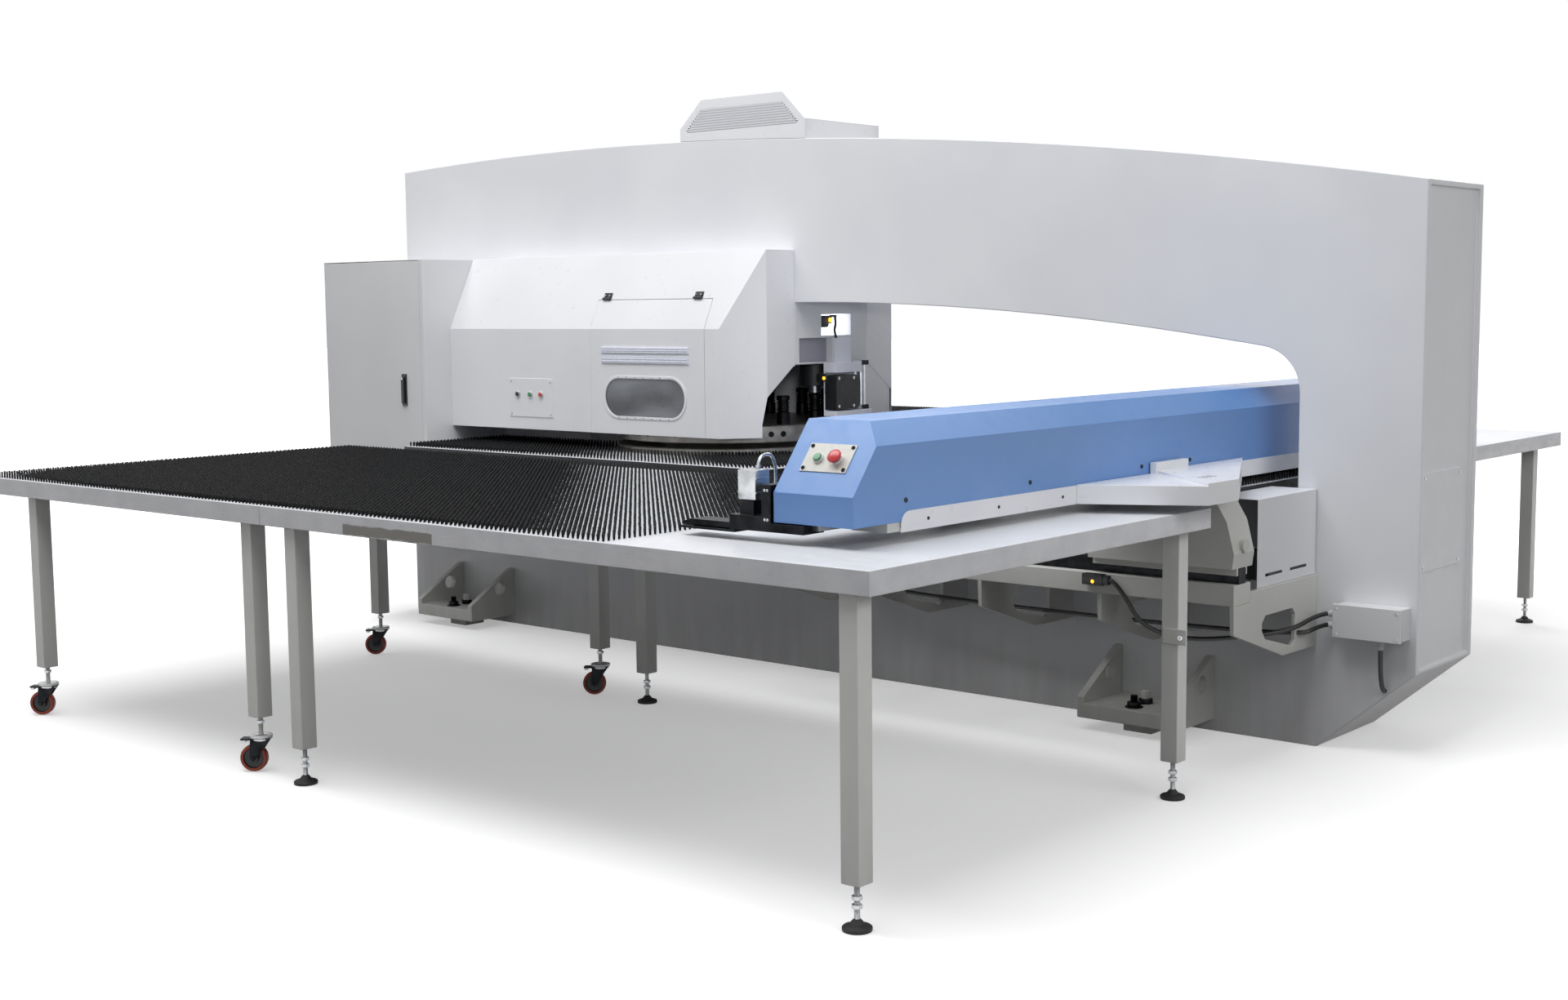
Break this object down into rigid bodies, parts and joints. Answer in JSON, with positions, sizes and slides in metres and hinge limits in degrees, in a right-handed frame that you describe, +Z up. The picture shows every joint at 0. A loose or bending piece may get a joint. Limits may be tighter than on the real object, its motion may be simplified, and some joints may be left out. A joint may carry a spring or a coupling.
{
  "type": "turret_punch_press",
  "caption": "White turret punch press on a closed frame, with black brush tables, a blue clamp beam cover and a control cabinet",
  "frame": {"origin": "floor level, middle of the overall length and of the frame thickness", "axes": "+X along the frame towards its closed column, +Y away from the operator side, +Z up"},
  "size_m": [5.5, 5.8, 2.522],
  "materials": {
    "frame_paint": "white textured machine enamel",
    "cabinet_paint": "light grey-white powder coat",
    "blue_paint": "light blue powder coat",
    "table_steel": "white painted sheet and tube",
    "turned_steel": "ground machine steel",
    "black_tool_steel": "black oxide tool steel",
    "black_casting": "black painted castings",
    "bristle": "black nylon bristle",
    "aluminium_profile": "milled aluminium",
    "galvanised": "zinc plated steel",
    "window_pane": "clear guard pane",
    "black_plastic": "black moulded plastic",
    "green_plastic": "green push button",
    "red_plastic": "red push button",
    "wheel_tread": "dark red cast polyurethane",
    "bare_plate": "bare white switch plate",
    "cable_jacket": "black cable jacket"
  },
  "bodies": {
    "machine": {"o_frame": "frame_paint", "service_panel": "frame_paint", "anchor_feet": "frame_paint", "top_hood": "frame_paint", "electrical_cabinet": "cabinet_paint", "rear_turret_cover": "frame_paint", "turret_cover": "frame_paint", "door_hinges": "black_plastic", "control_plate": "bare_plate", "bay_housings": "black_casting", "ram_bracket": "bare_plate", "ram_housing": "black_casting", "front_table_left": "table_steel", "front_table_right": "table_steel", "rear_table": "table_steel", "levelling_feet": "galvanised", "centre_table": "table_steel", "front_brushes": "bristle", "rear_brushes": "bristle", "centre_brushes": "bristle", "y_rail_beams": "frame_paint", "y_rails": "black_casting", "rail_brackets": "frame_paint", "y_servo_motor": "black_casting", "y_drive_cover": "frame_paint", "junction_box": "frame_paint", "cables": "cable_jacket"},
    "door_of_cabinet": {"cabinet_door": "cabinet_paint"},
    "cabinet_lever": {"cabinet_handle": "black_plastic"},
    "door_of_turret": {"turret_door": "frame_paint", "door_window": "window_pane", "door_trim": "aluminium_profile"},
    "black_button": {"black_button": "black_plastic"},
    "green_button": {"green_button": "green_plastic"},
    "red_button": {"red_button": "red_plastic"},
    "turret_upper": {"upper_turret": "turned_steel", "punch_tools": "black_tool_steel"},
    "turret_lower": {"lower_turret": "turned_steel"},
    "active_punch": {"active_punch": "black_tool_steel"},
    "ram_striker": {"ram_striker": "turned_steel"},
    "beam": {"y_carriages": "frame_paint", "x_beam": "frame_paint", "x_beam_cover": "blue_paint", "drive_cover": "frame_paint", "beam_end_plate": "bare_plate"},
    "clamp_carriage": {"x_carriage": "black_casting", "clamp_bodies": "black_casting", "clamp_cylinders": "aluminium_profile"},
    "clamp_jaws": {"clamp_jaws": "black_tool_steel"},
    "start_button": {"start_button": "green_plastic"},
    "stop_button": {"stop_button": "red_plastic"},
    "y_ball_screw": {"y_ball_screw": "turned_steel"},
    "caster_fork_1": {"caster_fork_1": "galvanised"},
    "caster_wheel_1": {"caster_wheel_1": "wheel_tread"},
    "caster_fork_2": {"caster_fork_2": "galvanised"},
    "caster_wheel_2": {"caster_wheel_2": "wheel_tread"},
    "caster_fork_3": {"caster_fork_3": "galvanised"},
    "caster_wheel_3": {"caster_wheel_3": "wheel_tread"},
    "caster_fork_4": {"caster_fork_4": "galvanised"},
    "caster_wheel_4": {"caster_wheel_4": "wheel_tread"}
  },
  "joints": [
    {"name": "cabinet_door_hinge", "type": "hinge", "parent": "machine", "child": "door_of_cabinet", "pos_m": [-2.744, -0.76, 1.219], "axis": [0, 0, -1], "range_deg": [0, 110]},
    {"name": "cabinet_lever_hinge", "type": "hinge", "parent": "door_of_cabinet", "child": "cabinet_lever", "pos_m": [-2.1265, -0.765, 1.262], "axis": [0, 1, 0], "range_deg": [0, 90]},
    {"name": "turret_door_hinge", "type": "hinge", "parent": "machine", "child": "door_of_turret", "pos_m": [-0.628, -0.5408, 1.6376], "axis": [-1, 0, 0], "range_deg": [0, 95]},
    {"name": "black_button_slide", "type": "slide", "parent": "machine", "child": "black_button", "axis": [0, 1, 0], "range_m": [0, 0.004], "stiffness_N_per_m": 400},
    {"name": "green_button_slide", "type": "slide", "parent": "machine", "child": "green_button", "axis": [0, 1, 0], "range_m": [0, 0.004], "stiffness_N_per_m": 400},
    {"name": "red_button_slide", "type": "slide", "parent": "machine", "child": "red_button", "axis": [0, 1, 0], "range_m": [0, 0.004], "stiffness_N_per_m": 400},
    {"name": "upper_turret_spin", "type": "hinge", "parent": "machine", "child": "turret_upper", "pos_m": [-0.62, 0, 1.035], "axis": [0, 0, 1], "continuous": true},
    {"name": "lower_turret_spin", "type": "hinge", "parent": "machine", "child": "turret_lower", "pos_m": [-0.62, 0, 0.93], "axis": [0, 0, 1], "continuous": true},
    {"name": "ram_slide", "type": "slide", "parent": "machine", "child": "ram_striker", "axis": [0, 0, -1], "range_m": [0, 0.034]},
    {"name": "punch_slide", "type": "slide", "parent": "turret_upper", "child": "active_punch", "axis": [0, 0, -1], "range_m": [0, 0.034]},
    {"name": "beam_slide", "type": "slide", "parent": "machine", "child": "beam", "axis": [-1, 0, 0], "range_m": [0, 1.4]},
    {"name": "clamp_slide", "type": "slide", "parent": "beam", "child": "clamp_carriage", "axis": [0, 1, 0], "range_m": [0, 2.4]},
    {"name": "jaw_hinge", "type": "hinge", "parent": "clamp_carriage", "child": "clamp_jaws", "pos_m": [1.706, -1.643, 0.986], "axis": [0, 1, 0], "range_deg": [0, 7]},
    {"name": "start_slide", "type": "slide", "parent": "beam", "child": "start_button", "axis": [0, 0.7844, -0.6203], "range_m": [0, 0.004], "stiffness_N_per_m": 400},
    {"name": "stop_slide", "type": "slide", "parent": "beam", "child": "stop_button", "axis": [0, 0.7844, -0.6203], "range_m": [0, 0.005]},
    {"name": "ball_screw_spin", "type": "hinge", "parent": "machine", "child": "y_ball_screw", "pos_m": [0.34, -0.64, 0.7], "axis": [1, 0, 0], "range_deg": [-10, 12620]},
    {"name": "caster_swivel_1", "type": "hinge", "parent": "machine", "child": "caster_fork_1", "pos_m": [-1.79, -2.84, 0.118], "axis": [0, 0, 1], "continuous": true},
    {"name": "caster_axle_1", "type": "hinge", "parent": "caster_fork_1", "child": "caster_wheel_1", "pos_m": [-1.80992, -2.85671, 0.048], "axis": [-0.6428, 0.766, 0], "continuous": true},
    {"name": "caster_swivel_2", "type": "hinge", "parent": "machine", "child": "caster_fork_2", "pos_m": [-1.79, -1.205, 0.118], "axis": [0, 0, 1], "continuous": true},
    {"name": "caster_axle_2", "type": "hinge", "parent": "caster_fork_2", "child": "caster_wheel_2", "pos_m": [-1.80992, -1.22171, 0.048], "axis": [-0.6428, 0.766, 0], "continuous": true},
    {"name": "caster_swivel_3", "type": "hinge", "parent": "machine", "child": "caster_fork_3", "pos_m": [-0.32, -2.84, 0.118], "axis": [0, 0, 1], "continuous": true},
    {"name": "caster_axle_3", "type": "hinge", "parent": "caster_fork_3", "child": "caster_wheel_3", "pos_m": [-0.33992, -2.85671, 0.048], "axis": [-0.6428, 0.766, 0], "continuous": true},
    {"name": "caster_swivel_4", "type": "hinge", "parent": "machine", "child": "caster_fork_4", "pos_m": [-0.32, -1.205, 0.118], "axis": [0, 0, 1], "continuous": true},
    {"name": "caster_axle_4", "type": "hinge", "parent": "caster_fork_4", "child": "caster_wheel_4", "pos_m": [-0.33992, -1.22171, 0.048], "axis": [-0.6428, 0.766, 0], "continuous": true}
  ],
  "couplings": [
    {"joint": "lower_turret_spin", "follows": "upper_turret_spin", "ratio": 1},
    {"joint": "punch_slide", "follows": "ram_slide", "ratio": 1},
    {"joint": "ball_screw_spin", "follows": "beam_slide", "rad_per_m": 157.08}
  ]
}
